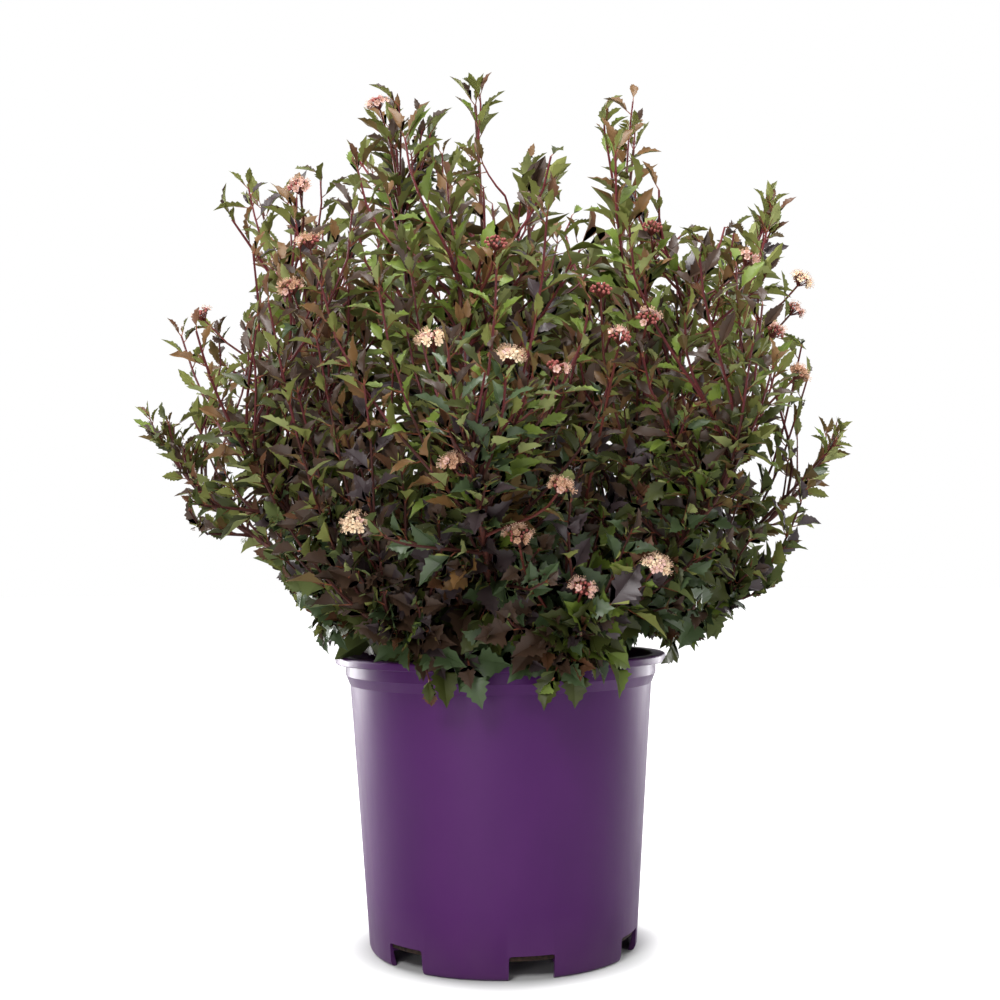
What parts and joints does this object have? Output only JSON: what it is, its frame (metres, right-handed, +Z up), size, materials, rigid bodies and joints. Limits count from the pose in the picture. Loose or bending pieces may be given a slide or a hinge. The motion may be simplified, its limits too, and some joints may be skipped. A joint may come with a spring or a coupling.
{
  "type": "potted ninebark shrub",
  "caption": "Bushy upright ninebark shrub with dark lobed leaves, red canes and flat cream blossom heads, in a round tapered purple nursery pot filled with bark mix",
  "frame": {"origin": "centre of the ground under the plant, on the pot's axis, level with the pot's foot", "axes": "+Z up along the pot's axis, -Y towards the viewer of the picture, +X to the viewer's right"},
  "size_m": [0.6153, 0.611, 0.7443],
  "materials": {
    "pot": "satin purple plastic",
    "soil": "moist dark bark mix",
    "old_wood": "dull brown bark",
    "cane": "smooth red-brown bark",
    "foliage": "dark green and purple-brown leaves, satin"
  },
  "bodies": {
    "root": {"pot": "pot", "soil": "soil", "stem_base": "old_wood", "bough_01": "cane", "bough_02": "cane", "bough_03": "cane", "bough_04": "cane", "bough_05": "cane", "bough_06": "cane", "bough_07": "cane", "bough_08": "cane", "bough_09": "cane", "bough_10": "cane", "bough_11": "cane", "bough_12": "cane", "bough_13": "cane", "bough_14": "cane", "bough_15": "cane", "bough_16": "cane", "bough_17": "cane", "bough_18": "cane", "bough_19": "cane", "bough_20": "cane", "bough_21": "cane", "bough_22": "cane", "bough_23": "cane", "bough_24": "cane", "bough_25": "cane", "bough_26": "cane", "bough_27": "cane", "bough_28": "cane", "foliage_01": "foliage", "foliage_02": "foliage", "foliage_03": "foliage", "foliage_04": "foliage", "foliage_05": "foliage", "foliage_06": "foliage", "foliage_07": "foliage", "foliage_08": "foliage", "foliage_09": "foliage", "foliage_10": "foliage", "foliage_11": "foliage", "foliage_12": "foliage", "foliage_13": "foliage", "foliage_14": "foliage", "foliage_15": "foliage", "foliage_16": "foliage", "foliage_17": "foliage", "foliage_18": "foliage", "foliage_19": "foliage", "foliage_20": "foliage", "foliage_21": "foliage", "foliage_22": "foliage", "foliage_23": "foliage", "foliage_24": "foliage", "foliage_25": "foliage", "foliage_26": "foliage", "foliage_27": "foliage", "foliage_28": "foliage"}
  },
  "joints": []
}
